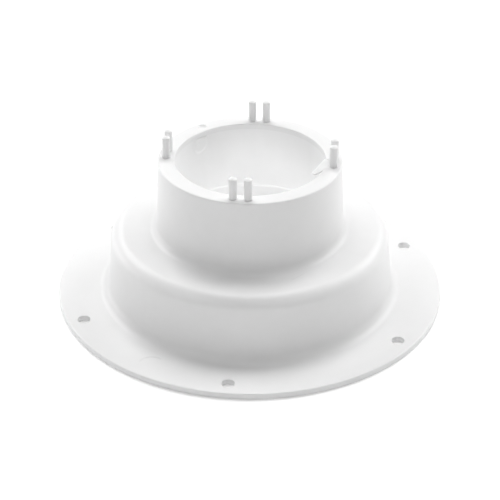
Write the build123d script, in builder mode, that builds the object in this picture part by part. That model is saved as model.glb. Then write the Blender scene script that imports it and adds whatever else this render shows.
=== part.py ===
from build123d import *
import os
from math import atan2, degrees, tan, radians

os.makedirs("parts", exist_ok=True)

# Deck base of a ventilator: a screw flange, a stepped drum and a collar, with a separate duct sleeve in
# the collar, eight locating pins and a catch for the cowl on the rim, and a deck gasket underneath.
# Millimetres, +Z up. The origin is the centre of the flange's underside, on the bore's axis.

# Driving dimensions of the shell
FLANGE_R = 100.0
FLANGE_T = 3.1
WALL = 2.8
DRUM_FOOT_R = 73.8  # outside radius at the flange's top face
DRUM_TOP_R = 71.35  # outside radius at the drum's top face, so about 4 degrees of draft
DRUM_TOP_Z = 37.7
COLLAR_FOOT_R = 48.1
COLLAR_TOP_R = 46.6
RIM_Z = 76.4
LIP_T = 3.0  # thickness of the inturned lip that makes the rim
BORE_R = 38.0

# Blends of the shell
FLANGE_EDGE = 0.7
FLANGE_UNDER_EDGE = 0.3
CAVITY_FOOT_EDGE = 0.5
DRUM_FOOT_BLEND = 5.5
DRUM_TOP_BLEND = 7.0
COLLAR_FOOT_BLEND = 4.0
RIM_OUTER_EDGE = 0.8
RIM_INNER_EDGE = 0.5
LIP_CORNER = 1.0
COLLAR_MOUTH_BLEND = 1.2

# Deck screws
SCREW_COUNT = 6
SCREW_CIRCLE_R = 91.8
SCREW_HOLE_R = 3.2
SCREW_HOLE_EDGE = 0.3
FIRST_SCREW_DEG = 270.0

# Duct sleeve
SLEEVE_WALL = 2.0
SLEEVE_FOOT_Z = 40.0
SOCKET_R = 38.5  # takes a three inch duct
SOCKET_TOP_Z = 52.0
SOCKET_TAPER_RISE = 12.0  # the duct wedges in this taper
SOCKET_LEAD_IN = 0.4
PAD_DEG = 140.0
PAD_HALF_WIDTH = 4.6
PAD_FOOT_Z = 64.5
PAD_PROUD = 0.6
PAD_CORNER = 4.4  # radius of the two lower corners, so the foot is nearly a half circle

# Locating pins, in pairs at the front, right, rear and left of the rim
PIN_R = 2.05
PIN_ROW = 42.15  # distance of a pair's line from the axis
PIN_HALF_SPACING = 3.7
PIN_TOP_Z = 88.0
PIN_TIP_HEIGHT = 0.7
PIN_TIP_R = 0.7
PIN_TIP_ROUND = 0.25
PIN_SHANK_R = 1.5
PIN_SHANK_LENGTH = 8.5
PIN_SOCKET_DEPTH = 9.0
PIN_BOSS_R = 3.8
PIN_BOSS_FOOT_Z = 65.4

# Dimple in the rim
DIMPLE_ROW = 42.8
DIMPLE_DEG = 132.3
DIMPLE_MOUTH_R = 2.4
DIMPLE_DEPTH = 1.3

# Catch finger let into the rim
CATCH_OUTLINE = [(37.5, 4.6), (39.7, 2.6), (39.7, -4.6), (32.9, -11.2), (31.7, -9.2)]
CATCH_CORNERS = [0.3, 0.6, 0.6, 0.8, 0.7]
CATCH_T = 1.8
CATCH_BELOW_RIM = 0.15
CATCH_TOP_SLOPE = 4.0  # degrees down towards the tip, over the free part
CATCH_GAP = 0.04

# Deck gasket
GROOVE_IN_R = 78.4
GROOVE_OUT_R = 86.6
GROOVE_DEPTH = 1.2
GASKET_SIDE_GAP = 0.1
GASKET_EDGE = 0.25

lip_under_z = RIM_Z - LIP_T
drum_ceiling_z = DRUM_TOP_Z - WALL
drum_draft = (DRUM_FOOT_R - DRUM_TOP_R) / (DRUM_TOP_Z - FLANGE_T)
collar_draft = (COLLAR_FOOT_R - COLLAR_TOP_R) / (RIM_Z - DRUM_TOP_Z)
cavity_foot_r = DRUM_FOOT_R - WALL + drum_draft * FLANGE_T
cavity_top_r = DRUM_TOP_R - WALL + drum_draft * WALL
collar_inside_top_r = COLLAR_TOP_R - WALL + collar_draft * LIP_T
collar_inside_foot_r = COLLAR_FOOT_R - WALL + collar_draft * WALL
sleeve_out_r = BORE_R + SLEEVE_WALL
cavity_corner = DRUM_TOP_BLEND - WALL

# Where each pin stands, seen from above with the front on -Y
pin_places = {
    "cap_pin_front_left": (-PIN_HALF_SPACING, -PIN_ROW),
    "cap_pin_front_right": (PIN_HALF_SPACING, -PIN_ROW),
    "cap_pin_right_front": (PIN_ROW, -PIN_HALF_SPACING),
    "cap_pin_right_rear": (PIN_ROW, PIN_HALF_SPACING),
    "cap_pin_rear_right": (PIN_HALF_SPACING, PIN_ROW),
    "cap_pin_rear_left": (-PIN_HALF_SPACING, PIN_ROW),
    "cap_pin_left_rear": (-PIN_ROW, PIN_HALF_SPACING),
    "cap_pin_left_front": (-PIN_ROW, -PIN_HALF_SPACING),
}

# The section of the shell: each corner as (radius from the axis, height, blend radius)
shell_section = [
    (cavity_foot_r, 0, CAVITY_FOOT_EDGE),
    (FLANGE_R, 0, FLANGE_UNDER_EDGE),
    (FLANGE_R, FLANGE_T, FLANGE_EDGE),
    (DRUM_FOOT_R, FLANGE_T, DRUM_FOOT_BLEND),
    (DRUM_TOP_R, DRUM_TOP_Z, DRUM_TOP_BLEND),
    (COLLAR_FOOT_R, DRUM_TOP_Z, COLLAR_FOOT_BLEND),
    (COLLAR_TOP_R, RIM_Z, RIM_OUTER_EDGE),
    (BORE_R, RIM_Z, RIM_INNER_EDGE),
    (BORE_R, lip_under_z, 0),
    (collar_inside_top_r, lip_under_z, LIP_CORNER),
    (collar_inside_foot_r, drum_ceiling_z, COLLAR_MOUTH_BLEND),
    (cavity_top_r, drum_ceiling_z, cavity_corner),
]

# Base shell: one thin-walled moulding, with a socket boss under the rim for each pin
with BuildPart() as base_shell:
    with BuildSketch(Plane.XZ):
        with BuildLine():
            FilletPolyline(
                [(r, z) for r, z, _ in shell_section],
                radius=[blend for _, _, blend in shell_section],
                close=True,
            )
        make_face()
    revolve(axis=Axis.Z)
    with BuildSketch(Plane.XY.offset(PIN_BOSS_FOOT_Z)):
        with Locations(*pin_places.values()):
            Circle(PIN_BOSS_R)
        Circle(sleeve_out_r, mode=Mode.SUBTRACT)
    extrude(amount=RIM_Z - LIP_T / 2 - PIN_BOSS_FOOT_Z)
    with Locations(*[(x, y, RIM_Z) for x, y in pin_places.values()]):
        Hole(PIN_SHANK_R, PIN_SOCKET_DEPTH)
    with Locations((0, 0, FLANGE_T)):
        with PolarLocations(SCREW_CIRCLE_R, SCREW_COUNT, start_angle=FIRST_SCREW_DEG):
            Hole(SCREW_HOLE_R, FLANGE_T)
    screw_mouths = (
        base_shell.edges()
        .filter_by(GeomType.CIRCLE)
        .filter_by(lambda e: e.radius == SCREW_HOLE_R and e.center().Z > FLANGE_T / 2)
    )
    chamfer(screw_mouths, SCREW_HOLE_EDGE)
    # dimple: a ball sunk into the rim
    dimple_ball_r = (DIMPLE_MOUTH_R**2 + DIMPLE_DEPTH**2) / (2 * DIMPLE_DEPTH)
    with Locations((0, 0, RIM_Z - DIMPLE_DEPTH + dimple_ball_r)):
        with PolarLocations(DIMPLE_ROW, 1, start_angle=DIMPLE_DEG):
            Sphere(dimple_ball_r, mode=Mode.SUBTRACT)
    # slot that holds the catch finger, open to the bore
    with BuildSketch(Plane.XY.offset(RIM_Z - CATCH_BELOW_RIM - CATCH_T)):
        with BuildLine():
            FilletPolyline(CATCH_OUTLINE, radius=CATCH_CORNERS, close=True)
        make_face()
        offset(amount=CATCH_GAP)
    extrude(amount=LIP_T, mode=Mode.SUBTRACT)
    # groove for the deck gasket, inside the screw circle
    with BuildSketch(Plane.XY):
        Circle(GROOVE_OUT_R)
        Circle(GROOVE_IN_R, mode=Mode.SUBTRACT)
    extrude(amount=GROOVE_DEPTH, mode=Mode.SUBTRACT)

# Duct sleeve: a tube bonded under the lip between the pin bosses, with a socket for the duct at its foot
sleeve_section = [
    (BORE_R, lip_under_z),
    (BORE_R, SOCKET_TOP_Z + SOCKET_TAPER_RISE),
    (SOCKET_R, SOCKET_TOP_Z),
    (SOCKET_R, SLEEVE_FOOT_Z + SOCKET_LEAD_IN),
    (SOCKET_R + SOCKET_LEAD_IN / 2, SLEEVE_FOOT_Z),
    (sleeve_out_r, SLEEVE_FOOT_Z),
    (sleeve_out_r, lip_under_z),
]
with BuildPart() as duct_sleeve:
    with BuildSketch(Plane.XZ):
        with BuildLine():
            Polyline(sleeve_section, close=True)
        make_face()
    revolve(axis=Axis.Z)
    # low rounded pad on the inner wall, under the dimple
    pad_plane = Plane(
        origin=Vector(BORE_R - PAD_PROUD, 0, lip_under_z).rotate(Axis.Z, PAD_DEG),
        x_dir=Vector(0, 1, 0).rotate(Axis.Z, PAD_DEG),
        z_dir=Vector(1, 0, 0).rotate(Axis.Z, PAD_DEG),
    )
    with BuildSketch(pad_plane):
        with BuildLine():
            FilletPolyline(
                (-PAD_HALF_WIDTH, 0),
                (-PAD_HALF_WIDTH, PAD_FOOT_Z - lip_under_z),
                (PAD_HALF_WIDTH, PAD_FOOT_Z - lip_under_z),
                (PAD_HALF_WIDTH, 0),
                radius=[PAD_CORNER] * 2,
            )
            Line((PAD_HALF_WIDTH, 0), (-PAD_HALF_WIDTH, 0))
        make_face()
    extrude(amount=SLEEVE_WALL)

# Catch: a finger set in the rim, its free part thinned towards the tip
with BuildPart() as cap_catch:
    with BuildSketch(Plane.XY.offset(RIM_Z - CATCH_BELOW_RIM - CATCH_T)):
        with BuildLine():
            FilletPolyline(CATCH_OUTLINE, radius=CATCH_CORNERS, close=True)
        make_face()
    extrude(amount=CATCH_T)
    (root_x, root_y), (tip_x, tip_y) = CATCH_OUTLINE[0], CATCH_OUTLINE[-1]
    heading = degrees(atan2(tip_y - root_y, tip_x - root_x))
    ramp = Plane(
        origin=(root_x, root_y, RIM_Z - CATCH_BELOW_RIM),
        x_dir=Vector(1, 0, -tan(radians(CATCH_TOP_SLOPE))).rotate(Axis.Z, heading),
        z_dir=Vector(tan(radians(CATCH_TOP_SLOPE)), 0, 1).rotate(Axis.Z, heading),
    )
    split(bisect_by=ramp, keep=Keep.BOTTOM)

# Deck gasket: a flat foam ring pressed into its groove, flush with the flange
with BuildPart() as deck_gasket:
    with BuildSketch():
        Circle(GROOVE_OUT_R - GASKET_SIDE_GAP)
        Circle(GROOVE_IN_R + GASKET_SIDE_GAP, mode=Mode.SUBTRACT)
    extrude(amount=GROOVE_DEPTH)
    chamfer(deck_gasket.edges().group_by(Axis.Z)[0], GASKET_EDGE)


# Locating pin: a shouldered peg whose shank is pressed into the rim
def locating_pin(x, y):
    axis = Axis((x, y, 0), (0, 0, 1))
    with BuildPart() as pin:
        with BuildSketch(Plane((x, y, 0), x_dir=(1, 0, 0), z_dir=(0, -1, 0))):
            with BuildLine():
                FilletPolyline(
                    (0, RIM_Z - PIN_SHANK_LENGTH),
                    (PIN_SHANK_R, RIM_Z - PIN_SHANK_LENGTH),
                    (PIN_SHANK_R, RIM_Z),
                    (PIN_R, RIM_Z),
                    (PIN_R, PIN_TOP_Z - PIN_TIP_HEIGHT),
                    (PIN_TIP_R, PIN_TOP_Z),
                    (0, PIN_TOP_Z),
                    radius=[0, 0, 0, PIN_TIP_ROUND, PIN_TIP_ROUND],
                )
                Line((0, PIN_TOP_Z), (0, RIM_Z - PIN_SHANK_LENGTH))
            make_face()
        revolve(axis=axis)
    return pin


pieces = {
    "base_shell": base_shell,
    "duct_sleeve": duct_sleeve,
    "cap_catch": cap_catch,
    "deck_gasket": deck_gasket,
}
for pin_name, (x, y) in pin_places.items():
    pieces[pin_name] = locating_pin(x, y)

for name, piece in pieces.items():
    piece.part.label = name
    export_step(piece.part, f"parts/{name}.step")
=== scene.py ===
import math

import bmesh
import bpy
from mathutils import Matrix, Quaternion, Vector


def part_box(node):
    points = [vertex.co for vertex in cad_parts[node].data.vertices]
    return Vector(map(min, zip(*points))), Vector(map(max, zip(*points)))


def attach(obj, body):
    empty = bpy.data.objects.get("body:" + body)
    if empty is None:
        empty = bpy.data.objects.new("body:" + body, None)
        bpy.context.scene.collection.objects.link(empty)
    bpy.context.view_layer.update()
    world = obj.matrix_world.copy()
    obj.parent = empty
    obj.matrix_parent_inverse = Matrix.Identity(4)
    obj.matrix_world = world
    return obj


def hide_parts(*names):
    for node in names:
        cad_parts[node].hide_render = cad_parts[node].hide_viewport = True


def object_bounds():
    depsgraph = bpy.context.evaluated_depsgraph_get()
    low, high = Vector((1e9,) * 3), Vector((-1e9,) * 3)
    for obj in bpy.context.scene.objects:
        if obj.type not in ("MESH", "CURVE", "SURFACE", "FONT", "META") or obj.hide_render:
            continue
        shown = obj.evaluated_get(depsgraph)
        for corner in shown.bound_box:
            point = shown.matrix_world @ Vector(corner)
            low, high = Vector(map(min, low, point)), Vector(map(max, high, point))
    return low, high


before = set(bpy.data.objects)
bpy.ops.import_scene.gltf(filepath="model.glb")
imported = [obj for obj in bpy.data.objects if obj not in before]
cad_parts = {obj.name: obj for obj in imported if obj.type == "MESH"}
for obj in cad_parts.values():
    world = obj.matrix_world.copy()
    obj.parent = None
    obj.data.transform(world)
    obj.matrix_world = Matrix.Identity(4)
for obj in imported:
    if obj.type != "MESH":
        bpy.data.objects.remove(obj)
cad_low, cad_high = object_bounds()


# Base shell. Flange, stepped drum, collar and inturned rim are one injection moulding in white plastic with
# a fine matte grain from the mould. It has six screw holes, a dimple in the rim and a boss under the rim for
# each pin's socket.
mm = 0.001
shell_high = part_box("base_shell")[1]
flange_r = min(shell_high.x, shell_high.y)
rim_z = shell_high.z
flange_t = 3.1 * mm
wall = 2.8 * mm
lip_t = 3.0 * mm
bore_r = 38.0 * mm
drum_z = 37.7 * mm
ceiling_z = drum_z - wall
turns = 288  # steps round the axis, so that a screw's 60 degrees is a whole number of them
row_gap = 2.4 * mm
crease = math.radians(38)

# screws, seen from above: centres every 60 degrees, one of them at the front
screw_row = 91.8 * mm
screw_r = 3.2 * mm
mouth_edge = 0.35 * mm
screw_window = (96.6 * mm, 87.0 * mm)
screw_half_turns = 3

# dimple in the rim, near the left rear
dimple_row = 42.8 * mm
dimple_r = 2.4 * mm
dimple_depth = 1.3 * mm
dimple_degrees = 132.3
dimple_window = (45.5 * mm, 40.0 * mm)
dimple_half_turns = 3

# groove under the flange for the gasket
groove_in_r, groove_out_r, groove_depth = 78.4 * mm, 86.6 * mm, 1.2 * mm

# pins, seen from above: pairs at the front, right, rear and left of the rim
pin_row = 42.15 * mm
pin_half_spacing = 3.7 * mm
boss_r = 3.8 * mm
boss_low = 65.4 * mm
sleeve_clear_r = 40.05 * mm
socket_r = 1.55 * mm
socket_low = 67.4 * mm
pin_places = {
    "front_left": (-pin_half_spacing, -pin_row),
    "front_right": (pin_half_spacing, -pin_row),
    "right_front": (pin_row, -pin_half_spacing),
    "right_rear": (pin_row, pin_half_spacing),
    "rear_right": (pin_half_spacing, pin_row),
    "rear_left": (-pin_half_spacing, pin_row),
    "left_rear": (-pin_row, pin_half_spacing),
    "left_front": (-pin_row, -pin_half_spacing),
}

# catch finger and its slot, seen from above: each corner as (x, y, blend)
catch_corners = [
    (37.5 * mm, 4.6 * mm, 0.3 * mm),
    (39.7 * mm, 2.6 * mm, 0.6 * mm),
    (39.7 * mm, -4.6 * mm, 0.6 * mm),
    (32.9 * mm, -11.2 * mm, 0.8 * mm),
    (31.7 * mm, -9.2 * mm, 0.7 * mm),
]
catch_low = rim_z - 1.95 * mm
catch_gap = 0.04 * mm

# the section: each corner as (radius, height, blend)
shell_section = [
    (71.2 * mm, 0, 0.5 * mm),
    (groove_in_r, 0, 0.15 * mm),
    (groove_in_r, groove_depth, 0.15 * mm),
    (groove_out_r, groove_depth, 0.15 * mm),
    (groove_out_r, 0, 0.15 * mm),
    (screw_window[1], 0, 0),
    (screw_window[0], 0, 0),
    (flange_r, 0, 0.3 * mm),
    (flange_r, flange_t, 0.7 * mm),
    (screw_window[0], flange_t, 0),
    (screw_window[1], flange_t, 0),
    (73.8 * mm, flange_t, 5.5 * mm),
    (71.35 * mm, drum_z, 7.0 * mm),
    (48.1 * mm, drum_z, 4.0 * mm),
    (46.6 * mm, rim_z, 0.8 * mm),
    (dimple_window[0], rim_z, 0),
    (dimple_window[1], rim_z, 0),
    (bore_r, rim_z, 0.5 * mm),
    (bore_r, rim_z - lip_t, 0),
    (43.9 * mm, rim_z - lip_t, 1.0 * mm),
    (45.4 * mm, ceiling_z, 1.2 * mm),
    (68.75 * mm, ceiling_z, 4.2 * mm),
]


def rounded_outline(corners, step):
    """Points round a closed outline: an arc in place of each blended corner, and even runs between."""
    arcs = []
    small_blend = 0.6 * mm
    small_turn, large_turn = 22, 11  # degrees of arc between points, on small and larger blends
    for index, (x, y, blend) in enumerate(corners):
        here = Vector((x, y))
        before = (Vector(corners[index - 1][:2]) - here).normalized()
        after = (Vector(corners[(index + 1) % len(corners)][:2]) - here).normalized()
        if blend == 0:
            arcs.append([here])
            continue
        half = before.angle(after) / 2
        centre = here + (before + after).normalized() * blend / math.sin(half)
        first = here + before * blend / math.tan(half) - centre
        last = here + after * blend / math.tan(half) - centre
        sweep = math.atan2(first.x * last.y - first.y * last.x, first.dot(last))
        turn = small_turn if blend < small_blend else large_turn
        pieces = max(2, round(abs(math.degrees(sweep)) / turn))
        start = math.atan2(first.y, first.x)
        angles = [start + sweep * k / pieces for k in range(pieces + 1)]
        arcs.append([centre + blend * Vector((math.cos(a), math.sin(a))) for a in angles])
    points = []
    for index, arc in enumerate(arcs):
        points.extend(arc)
        run_end = arcs[(index + 1) % len(arcs)][0]
        flat_window = len(arc) == 1 and len(arcs[(index + 1) % len(arcs)]) == 1
        run_step = step / 2 if flat_window else step
        pieces = math.ceil((run_end - arc[-1]).length / run_step)
        points.extend(arc[-1].lerp(run_end, k / pieces) for k in range(1, pieces))
    return points


def turned_grid(work, outline, steps, centre=(0, 0), closed=True):
    """A ring of vertices for each outline point, joined with quads. A point on the axis is one vertex."""
    grid = []
    for radius, z in outline:
        if radius == 0:
            grid.append([work.verts.new((centre[0], centre[1], z))] * steps)
            continue
        angles = [2 * math.pi * i / steps for i in range(steps)]
        grid.append(
            [
                work.verts.new((centre[0] + radius * math.cos(a), centre[1] + radius * math.sin(a), z))
                for a in angles
            ]
        )
    for index in range(len(grid) if closed else len(grid) - 1):
        near, far = grid[index], grid[(index + 1) % len(grid)]
        for i in range(steps):
            corners = [near[i], near[(i + 1) % steps], far[(i + 1) % steps], far[i]]
            work.faces.new(list(dict.fromkeys(corners)))
    return grid


def window_loop(work, grid, outline, span, z, middle, half):
    """Clear a window of a flat face, between two radii and two steps round the axis, and return its edge."""
    outer, inner = [
        min(range(len(outline)), key=lambda j: abs(outline[j][0] - radius) + abs(outline[j][1] - z))
        for radius in span
    ]
    step = 1 if inner > outer else -1
    across = list(range(outer, inner + step, step))
    along = [(middle + k) % turns for k in range(-half, half + 1)]
    loop = [grid[outer][i] for i in along]
    loop += [grid[j][along[-1]] for j in across[1:]]
    loop += [grid[inner][i] for i in reversed(along[:-1])]
    loop += [grid[j][along[0]] for j in reversed(across[1:-1])]
    inside = [grid[j][i] for j in across[1:-1] for i in along[1:-1]]
    bmesh.ops.delete(work, geom=inside, context="VERTS")
    return loop


def joined(work, near, far):
    """Quads between two closed rings with the same number of vertices."""
    for i in range(len(near)):
        k = (i + 1) % len(near)
        work.faces.new([near[i], near[k], far[k], far[i]])


def ringed(work, loop, centre, rings):
    """Quads from a window's edge through rings of (radius, height) round a centre. Returns the last ring."""
    directions = [(Vector(v.co[:2]) - centre).normalized() for v in loop]
    for radius, z in rings:
        ring = [work.verts.new((*(centre + d * radius), z)) for d in directions]
        joined(work, loop, ring)
        loop = ring
    return loop


def finished(work, name):
    """The piece's object: smooth all over except along edges sharper than the crease angle."""
    bmesh.ops.recalc_face_normals(work, faces=work.faces)
    mesh = bpy.data.meshes.new(name)
    work.to_mesh(mesh)
    work.free()
    mesh.shade_smooth()
    mesh.set_sharp_from_angle(angle=crease)
    made = bpy.data.objects.new(name, mesh)
    bpy.context.scene.collection.objects.link(made)
    return made


def prism(work, outline, low, high):
    """A closed upright prism over an outline."""
    floor, roof = [[work.verts.new((x, y, z)) for x, y in outline] for z in (low, high)]
    work.faces.new(floor)
    work.faces.new(roof)
    joined(work, floor, roof)
    return floor, roof


def circle(x, y, radius, steps=32):
    angles = [2 * math.pi * k / steps for k in range(steps)]
    return [(x + radius * math.cos(a), y + radius * math.sin(a)) for a in angles]


def grown(corners, gap):
    """The outline's corners moved out by a gap, for an outline that runs clockwise."""
    moved = []
    for index, (x, y, blend) in enumerate(corners):
        here = Vector((x, y))
        before = (here - Vector(corners[index - 1][:2])).normalized()
        after = (Vector(corners[(index + 1) % len(corners)][:2]) - here).normalized()
        out_before, out_after = Vector((-before.y, before.x)), Vector((-after.y, after.x))
        out = (out_before + out_after) * gap / (1 + out_before.dot(out_after))
        moved.append((x + out.x, y + out.y, blend + gap))
    return moved


outline = rounded_outline(shell_section, step=row_gap)
work = bmesh.new()
grid = turned_grid(work, outline, turns)
mouth_angles = [math.radians(a) for a in (0, 22, 45, 68, 90)]
screw_count = 6
first_screw_degrees = 30
for screw in range(screw_count):
    degrees = 360 / screw_count * screw + first_screw_degrees
    middle = round(turns * degrees / 360)
    a = 2 * math.pi * middle / turns
    centre = screw_row * Vector((math.cos(a), math.sin(a)))
    top = window_loop(work, grid, outline, screw_window, flange_t, middle, screw_half_turns)
    bottom = window_loop(work, grid, outline, screw_window, 0, middle, screw_half_turns)
    mouth = [
        (screw_r + mouth_edge * (1 - math.sin(b)), mouth_edge * (1 - math.cos(b))) for b in mouth_angles
    ]
    upper = ringed(work, top, centre, [(radius, flange_t - drop) for radius, drop in mouth])
    lower = ringed(work, bottom, centre, [(radius, drop) for radius, drop in mouth])
    joined(work, upper, lower)

middle = round(turns * dimple_degrees / 360)
a = math.radians(dimple_degrees)
centre = dimple_row * Vector((math.cos(a), math.sin(a)))
rim_window = window_loop(work, grid, outline, dimple_window, rim_z, middle, dimple_half_turns)
ball_r = (dimple_r**2 + dimple_depth**2) / (2 * dimple_depth)
bowl = [
    (dimple_r * part, rim_z - dimple_depth + ball_r - math.sqrt(ball_r**2 - (dimple_r * part) ** 2))
    for part in (0.95, 0.85, 0.7, 0.5, 0.25)
]
dimple_edge = [(dimple_r + 0.12 * mm, rim_z), (dimple_r, rim_z - 0.05 * mm)]
last = ringed(work, rim_window, centre, dimple_edge + bowl)
work.faces.new(last)
shell = finished(work, "shell_moulding")

work = bmesh.new()
for side in range(4):
    turn = Matrix.Rotation(math.radians(90 * side), 2)
    ends = [circle(x, -pin_row, boss_r) for x in (-pin_half_spacing, pin_half_spacing)]
    left = [p for p in ends[0] if p[0] <= -pin_half_spacing]
    right = [p for p in ends[1] if p[0] >= pin_half_spacing]
    boss = [Vector(p) for p in left + sorted(right, key=lambda p: p[1])]
    boss = [p if p.length > sleeve_clear_r else p.normalized() * sleeve_clear_r for p in boss]
    prism(work, [turn @ p for p in boss], boss_low, rim_z - lip_t / 2)
bosses = finished(work, "bosses")
work = bmesh.new()
for x, y in pin_places.values():
    prism(work, circle(x, y, socket_r), socket_low, rim_z + lip_t)
prism(work, rounded_outline(grown(catch_corners, catch_gap), 2 * mm), catch_low, rim_z + lip_t)
cuts = finished(work, "cuts")
for tool, operation in ((bosses, "UNION"), (cuts, "DIFFERENCE")):
    modifier = shell.modifiers.new(tool.name, "BOOLEAN")
    modifier.operation = operation
    modifier.solver = "EXACT"
    modifier.object = tool
solid = bpy.data.meshes.new_from_object(shell.evaluated_get(bpy.context.evaluated_depsgraph_get()))
shell.modifiers.clear()
shell.data = solid
solid.shade_smooth()
solid.set_sharp_from_angle(angle=crease)
for tool in (bosses, cuts):
    bpy.data.objects.remove(tool)


class Shade:
    """A value in a material's nodes. Sums on it add Math nodes, and node() adds any other kind."""

    def __init__(self, tree, socket=None):
        self.tree = tree
        self.socket = socket

    def put(self, target, value):
        if isinstance(value, Shade):
            self.tree.links.new(value.socket, target)
        else:
            target.default_value = value

    def node(self, kind, settings=None, sockets=None, out=0):
        made = self.tree.nodes.new(kind)
        for name, value in (settings or {}).items():
            setattr(made, name, value)
        for name, value in (sockets or {}).items():
            self.put(next(s for s in made.inputs if name in (s.identifier, s.name)), value)
        return Shade(self.tree, made.outputs[out])

    def sum(self, operation, *values):
        made = self.tree.nodes.new("ShaderNodeMath")
        made.operation = operation
        for target, value in zip(made.inputs, values):
            self.put(target, value)
        return Shade(self.tree, made.outputs[0])

    def __add__(self, other):
        return self.sum("ADD", self, other)

    __radd__ = __add__

    def __sub__(self, other):
        return self.sum("SUBTRACT", self, other)

    def __rsub__(self, other):
        return self.sum("SUBTRACT", other, self)

    def __mul__(self, other):
        return self.sum("MULTIPLY", self, other)

    __rmul__ = __mul__

    def noise(self, place, size, detail=2.0, roughness=0.5):
        """Cloudy noise from 0 to 1, with features of about a size."""
        sockets = {"Vector": place, "Scale": 1 / size, "Detail": detail, "Roughness": roughness}
        return self.node("ShaderNodeTexNoise", sockets=sockets)

    def ramp(self, low, high):
        """0 below one value and 1 above another, eased between."""
        sockets = {"Value": self, "From Min": low, "From Max": high}
        return self.node("ShaderNodeMapRange", {"interpolation_type": "SMOOTHSTEP"}, sockets)

    def blend(self, first, second):
        """One colour where this value is 0 and another where it is 1."""
        sockets = {"Factor_Float": self, "A_Color": first, "B_Color": second}
        return self.node("ShaderNodeMix", {"data_type": "RGBA"}, sockets, out=2)


def grey(value):
    return (value, value, value, 1)


def distance(place, point):
    """How far each place is from one point."""
    sockets = {"Vector": place, "Vector_001": point}
    return place.node("ShaderNodeVectorMath", {"operation": "DISTANCE"}, sockets, out=1)


def white_plastic(name, tone, roughness, marks=()):
    """Matte white moulding. A mark is a scuff along an arc: (centre, radius, half width, middle, reach)."""
    cloud_size, mottle_size, grain_size = 45 * mm, 6 * mm, 0.7 * mm
    grain_height = 0.03 * mm
    dull_part = 0.975  # how much of the tone the duller clouds keep
    mark_part = 0.89  # how much of the tone a mark keeps
    material = bpy.data.materials.new(name)
    material.use_nodes = True
    tree = material.node_tree
    shader = tree.nodes["Principled BSDF"]
    start = Shade(tree)
    place = start.node("ShaderNodeTexCoord", out=3)
    cloud = start.noise(place, cloud_size, 3, 0.55)
    mottle = start.noise(place, mottle_size, 2, 0.5)
    grain = start.noise(place, grain_size, 2, 0.6)
    clouds = (0.7 * cloud + 0.3 * mottle).ramp(0.3, 0.7)
    colour = clouds.blend(grey(tone * dull_part), grey(tone))
    gloss = roughness + 0.12 * (cloud - 0.5) + 0.12 * (mottle - 0.5) + 0.1 * (grain - 0.5)
    for centre, radius, half_width, middle, reach in marks:
        off_line = start.sum("ABSOLUTE", distance(place, centre) - radius)
        broken = start.noise(place, 2.2 * mm, 2, 0.6).ramp(0.25, 0.6)
        along = 1 - distance(place, middle).ramp(reach * 0.6, reach)
        mark = (1 - off_line.ramp(half_width * 0.3, half_width)) * along * broken
        colour = mark.blend(colour, grey(tone * mark_part))
        gloss = gloss + 0.15 * mark
    start.put(shader.inputs["Base Color"], colour)
    start.put(shader.inputs["Roughness"], gloss)
    bump_sockets = {"Strength": 0.3, "Distance": grain_height, "Height": grain}
    bump = start.node("ShaderNodeBump", sockets=bump_sockets)
    start.put(shader.inputs["Normal"], bump)
    shader.inputs["IOR"].default_value = 1.5
    shader.inputs["Subsurface Weight"].default_value = 0.12
    shader.inputs["Subsurface Radius"].default_value = (1.0, 1.0, 1.0)
    shader.inputs["Subsurface Scale"].default_value = 1.5 * mm
    return material


def takes_over(piece, node, material):
    """The piece gets its finish and even shading, and stands for a CAD node on the one body."""
    even = piece.modifiers.new("even shading", "WEIGHTED_NORMAL")
    even.keep_sharp = True
    piece.data.materials.clear()
    piece.data.materials.append(material)
    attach(piece, "root")
    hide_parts(node)


scuff_middle = (-41.1 * mm, -75.0 * mm, flange_t)
scuff_centre = (-39.0 * mm, -81.3 * mm, flange_t)
scuff = (scuff_centre, 6.7 * mm, 0.9 * mm, scuff_middle, 7.2 * mm)
scratch_middle = (29.2 * mm, -47.2 * mm, drum_z)
scratch_centre = (-33.5 * mm, 6.5 * mm, drum_z)
scratch = (scratch_centre, 82.5 * mm, 0.3 * mm, scratch_middle, 5.5 * mm)
white_tone = 0.80
shell_white = white_plastic("shell white", white_tone, 0.4, marks=(scuff, scratch))
takes_over(shell, "base_shell", shell_white)


# Duct sleeve. A white tube bonded under the rim's lip, flush with it. It has a socket at its foot for a three
# inch duct, a taper above the socket, and a low rounded pad on its inner wall below the dimple.
sleeve_top_z = rim_z - lip_t
sleeve_section = [
    (bore_r, sleeve_top_z, 0),
    (bore_r, 64.0 * mm, 25.0 * mm),
    (38.5 * mm, 52.0 * mm, 25.0 * mm),
    (38.5 * mm, 40.4 * mm, 0.3 * mm),
    (38.7 * mm, 40.0 * mm, 0.2 * mm),
    (40.0 * mm, 40.0 * mm, 0.3 * mm),
    (40.0 * mm, sleeve_top_z, 0.15 * mm),
]
pad_degrees = 140.0
pad_half_width = 4.6 * mm
pad_foot_z = 64.5 * mm
pad_proud = 0.6 * mm
pad_edge = 1.2 * mm
wall_margin = 0.1 * mm
sleeve_gap = 0.6 * mm

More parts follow.
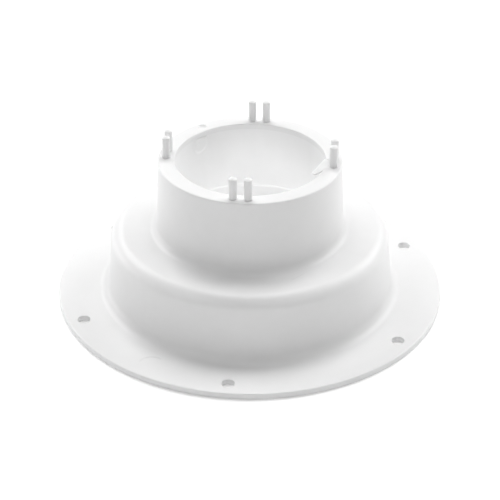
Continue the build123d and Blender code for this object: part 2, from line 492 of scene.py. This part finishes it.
work = bmesh.new()
turned_grid(work, rounded_outline(sleeve_section, step=sleeve_gap), turns)
pad_angle = math.radians(pad_degrees)
pad_out = Vector((math.cos(pad_angle), math.sin(pad_angle)))
pad_along = Vector((-pad_out.y, pad_out.x))
for vert in work.verts:
    across = Vector(vert.co[:2]).dot(pad_along)
    facing = Vector(vert.co[:2]).dot(pad_out)
    on_wall = facing > 0 and math.hypot(*vert.co[:2]) < bore_r + wall_margin
    if not on_wall or vert.co.z > sleeve_top_z - wall_margin:
        continue
    below = max(0, pad_foot_z + pad_half_width - vert.co.z)
    inside = pad_half_width - math.hypot(across, below)
    rise = min(1, max(0, inside / pad_edge))
    lift = pad_proud * rise * rise * (3 - 2 * rise)
    vert.co.xy -= Vector(vert.co[:2]).normalized() * lift
sleeve = finished(work, "bore_sleeve")
# The sleeve's white is paler than the shell's (0.84 against 0.80). This is painted light, which brightens the
# inside of the bore.
sleeve_white_painted_light = white_plastic("sleeve white", 0.84, 0.45)
takes_over(sleeve, "duct_sleeve", sleeve_white_painted_light)


# Catch. A tapered finger of the same plastic, bonded into a slot in the rim between the right-hand pins, with
# its free end over the bore and thinned towards the tip.
catch_high = rim_z - 0.15 * mm
catch_slope = math.tan(math.radians(4.0))
catch_edge = 0.22 * mm

root, tip = [Vector(corner[:2]) for corner in (catch_corners[0], catch_corners[-1])]
heading = (tip - root).normalized()
work = bmesh.new()
catch_row_gap = 2 * mm
roof_ring = prism(work, rounded_outline(catch_corners, catch_row_gap), catch_low, catch_high)[1]
for vert in roof_ring:
    vert.co.z -= catch_slope * max(0, (Vector(vert.co[:2]) - root).dot(heading))
catch = finished(work, "catch_finger")
softened = catch.modifiers.new("softened edges", "BEVEL")
softened.width = catch_edge
softened.segments = 3
softened.limit_method = "ANGLE"
takes_over(catch, "cap_catch", white_plastic("catch white", white_tone, 0.4))


# Locating pins. Eight white shouldered pegs that key the cowl to the base. Each has a blunt coned tip and is
# pressed into a socket in the rim until its shoulder sits on it. They are a little smoother than the shell.
pin_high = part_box("cap_pin_front_left")[1].z
pin_r = 2.05 * mm
shank_r = 1.5 * mm
shank_low = rim_z - 8.5 * mm
tip_low = pin_high - 0.7 * mm
pin_section = [
    (0, shank_low, 0),
    (shank_r, shank_low, 0.2 * mm),
    (shank_r, rim_z, 0),
    (pin_r, rim_z, 0),
    (pin_r, tip_low, 0.25 * mm),
    (0.7 * mm, pin_high, 0.25 * mm),
    (0, pin_high, 0),
]
pin_row_gap = 4 * mm
pin_outline = rounded_outline(pin_section, step=pin_row_gap)
# fault: of the two points on the axis only the tip's is kept, so the foot's flat end is left open;
# it is hidden at the bottom of the socket
pin_points = [(r, z) for r, z in pin_outline if r > 0 or z == pin_high]
pin_turns = 40
pin_white = white_plastic("pin white", white_tone, 0.36)
for place, (x, y) in pin_places.items():
    work = bmesh.new()
    turned_grid(work, pin_points, pin_turns, (x, y), closed=False)
    takes_over(finished(work, f"pin_{place}"), f"cap_pin_{place}", pin_white)


# Deck gasket. A flat ring of black closed-cell foam, pressed into the groove under the flange, which seals
# the base to the deck inside the screw circle.
gasket_section = [
    (groove_in_r + 0.1 * mm, 0, 0.25 * mm),
    (groove_out_r - 0.1 * mm, 0, 0.25 * mm),
    (groove_out_r - 0.1 * mm, groove_depth, 0.15 * mm),
    (groove_in_r + 0.1 * mm, groove_depth, 0.15 * mm),
]
gasket_turns = 256
cell_size, cell_depth = 0.6 * mm, 0.15 * mm
work = bmesh.new()
turned_grid(work, rounded_outline(gasket_section, step=1.6 * mm), gasket_turns)
gasket = finished(work, "foam_gasket")
foam = bpy.data.materials.new("gasket foam")
foam.use_nodes = True
foam_shader = foam.node_tree.nodes["Principled BSDF"]
start = Shade(foam.node_tree)
place = start.node("ShaderNodeTexCoord", out=3)
cells = start.node("ShaderNodeTexVoronoi", sockets={"Vector": place, "Scale": 1 / cell_size})
cloud = start.noise(place, 12 * mm, 3, 0.6)
shades = 0.6 * cloud + 0.4 * cells
start.put(foam_shader.inputs["Base Color"], shades.blend(grey(0.025), grey(0.06)))
start.put(foam_shader.inputs["Roughness"], 0.78 + 0.15 * cloud)
pore_sockets = {"Strength": 0.6, "Distance": cell_depth, "Height": cells}
pores = start.node("ShaderNodeBump", sockets=pore_sockets)
start.put(foam_shader.inputs["Normal"], pores)
takes_over(gasket, "deck_gasket", foam)


# Studio. A white table under a white tent, with two high panels behind the base, wide soft ones behind and
# at both sides, weaker ones in front, one overhead and a small disc under the open bore. The table glows a
# little, as a table lit through does.
floor_mesh = bpy.data.meshes.new("studio_floor")
floor_half = 4.0
floor_mesh.from_pydata(
    [(x * floor_half, y * floor_half, cad_low.z) for x, y in ((-1, -1), (1, -1), (1, 1), (-1, 1))],
    [],
    [(0, 1, 2, 3)],
)
floor = bpy.data.objects.new("studio_floor", floor_mesh)
bpy.context.scene.collection.objects.link(floor)
floor_white = bpy.data.materials.new("floor white")
floor_white.use_nodes = True
floor_shader = floor_white.node_tree.nodes["Principled BSDF"]
floor_shader.inputs["Base Color"].default_value = grey(0.93)
floor_shader.inputs["Roughness"].default_value = 0.9
floor_shader.inputs["Emission Color"].default_value = grey(1)
floor_shader.inputs["Emission Strength"].default_value = 0.1
floor_mesh.materials.append(floor_white)

# name: (azimuth, elevation, distance, width, height, watts), azimuth 0 at the front and 90 at the right
panels = {
    "main panel": (186, 68, 1.6, 0.7, 0.45, 6.2),
    "high rear panel": (182, 74, 1.6, 0.45, 0.3, 2.6),
    "rear right panel": (135, 38, 1.8, 1.2, 0.9, 16.5),
    "rear left panel": (225, 38, 1.8, 1.2, 0.9, 14),
    "low right panel": (112, 5, 2.0, 1.2, 0.34, 4.8),
    "low left panel": (248, 5, 2.0, 1.2, 0.34, 7.8),
    "front right panel": (38, 30, 2.2, 1.0, 0.6, 5.1),
    "front left panel": (322, 30, 2.2, 1.0, 0.6, 7.6),
    "overhead panel": (10, 82, 1.8, 0.9, 0.5, 3.8),
}
for name, (azimuth, elevation, distance, width, height, watts) in panels.items():
    lamp = bpy.data.lights.new(name, "AREA")
    lamp.shape = "RECTANGLE"
    lamp.size = width
    lamp.size_y = height
    lamp.energy = watts
    panel = bpy.data.objects.new(name, lamp)
    a, e = math.radians(azimuth), math.radians(elevation)
    away = Vector((math.sin(a) * math.cos(e), -math.cos(a) * math.cos(e), math.sin(e)))
    panel.location = away * distance
    panel.rotation_mode = "QUATERNION"
    panel.rotation_quaternion = away.to_track_quat("Z", "Y")
    panel.visible_camera = False
    bpy.context.scene.collection.objects.link(panel)

bore_panel_z = 2 * mm
bore_lamp = bpy.data.lights.new("bore panel", "AREA")
bore_lamp.shape = "DISK"
bore_lamp.size = 120 * mm
bore_lamp.energy = 0.035
bore_panel = bpy.data.objects.new("bore panel", bore_lamp)
bore_panel.location = (0, 0, bore_panel_z)
bore_panel.rotation_euler = (math.pi, 0, 0)
bore_panel.visible_camera = False
bpy.context.scene.collection.objects.link(bore_panel)

world = bpy.data.worlds.new("studio tent")
world.use_nodes = True
tent = world.node_tree.nodes["Background"].inputs
tent["Color"].default_value = grey(1)
tent["Strength"].default_value = 0.14
bpy.context.scene.world = world
bpy.context.scene.view_settings.view_transform = "Standard"

# Camera. A long lens a little above the front, turned a few degrees to the right of the front pins.
view_azimuth = math.radians(6.4)
view_elevation = math.radians(32.674)
view_roll = math.radians(0.22)
view_distance = flange_r * 8.51
aim = Vector((0, 0, flange_r * 0.222))
camera_data = bpy.data.cameras.new("camera")
camera_data.lens = 115.95
camera_data.clip_start = 0.01
camera_data.clip_end = 50
camera = bpy.data.objects.new("camera", camera_data)
across = math.cos(view_elevation)
away = Vector((math.sin(view_azimuth) * across, -math.cos(view_azimuth) * across, math.sin(view_elevation)))
camera.location = away * view_distance
camera.rotation_mode = "QUATERNION"
level = (aim - camera.location).to_track_quat("-Z", "Y")
camera.rotation_quaternion = level @ Quaternion((0, 0, 1), view_roll)
bpy.context.scene.collection.objects.link(camera)
bpy.context.scene.camera = camera
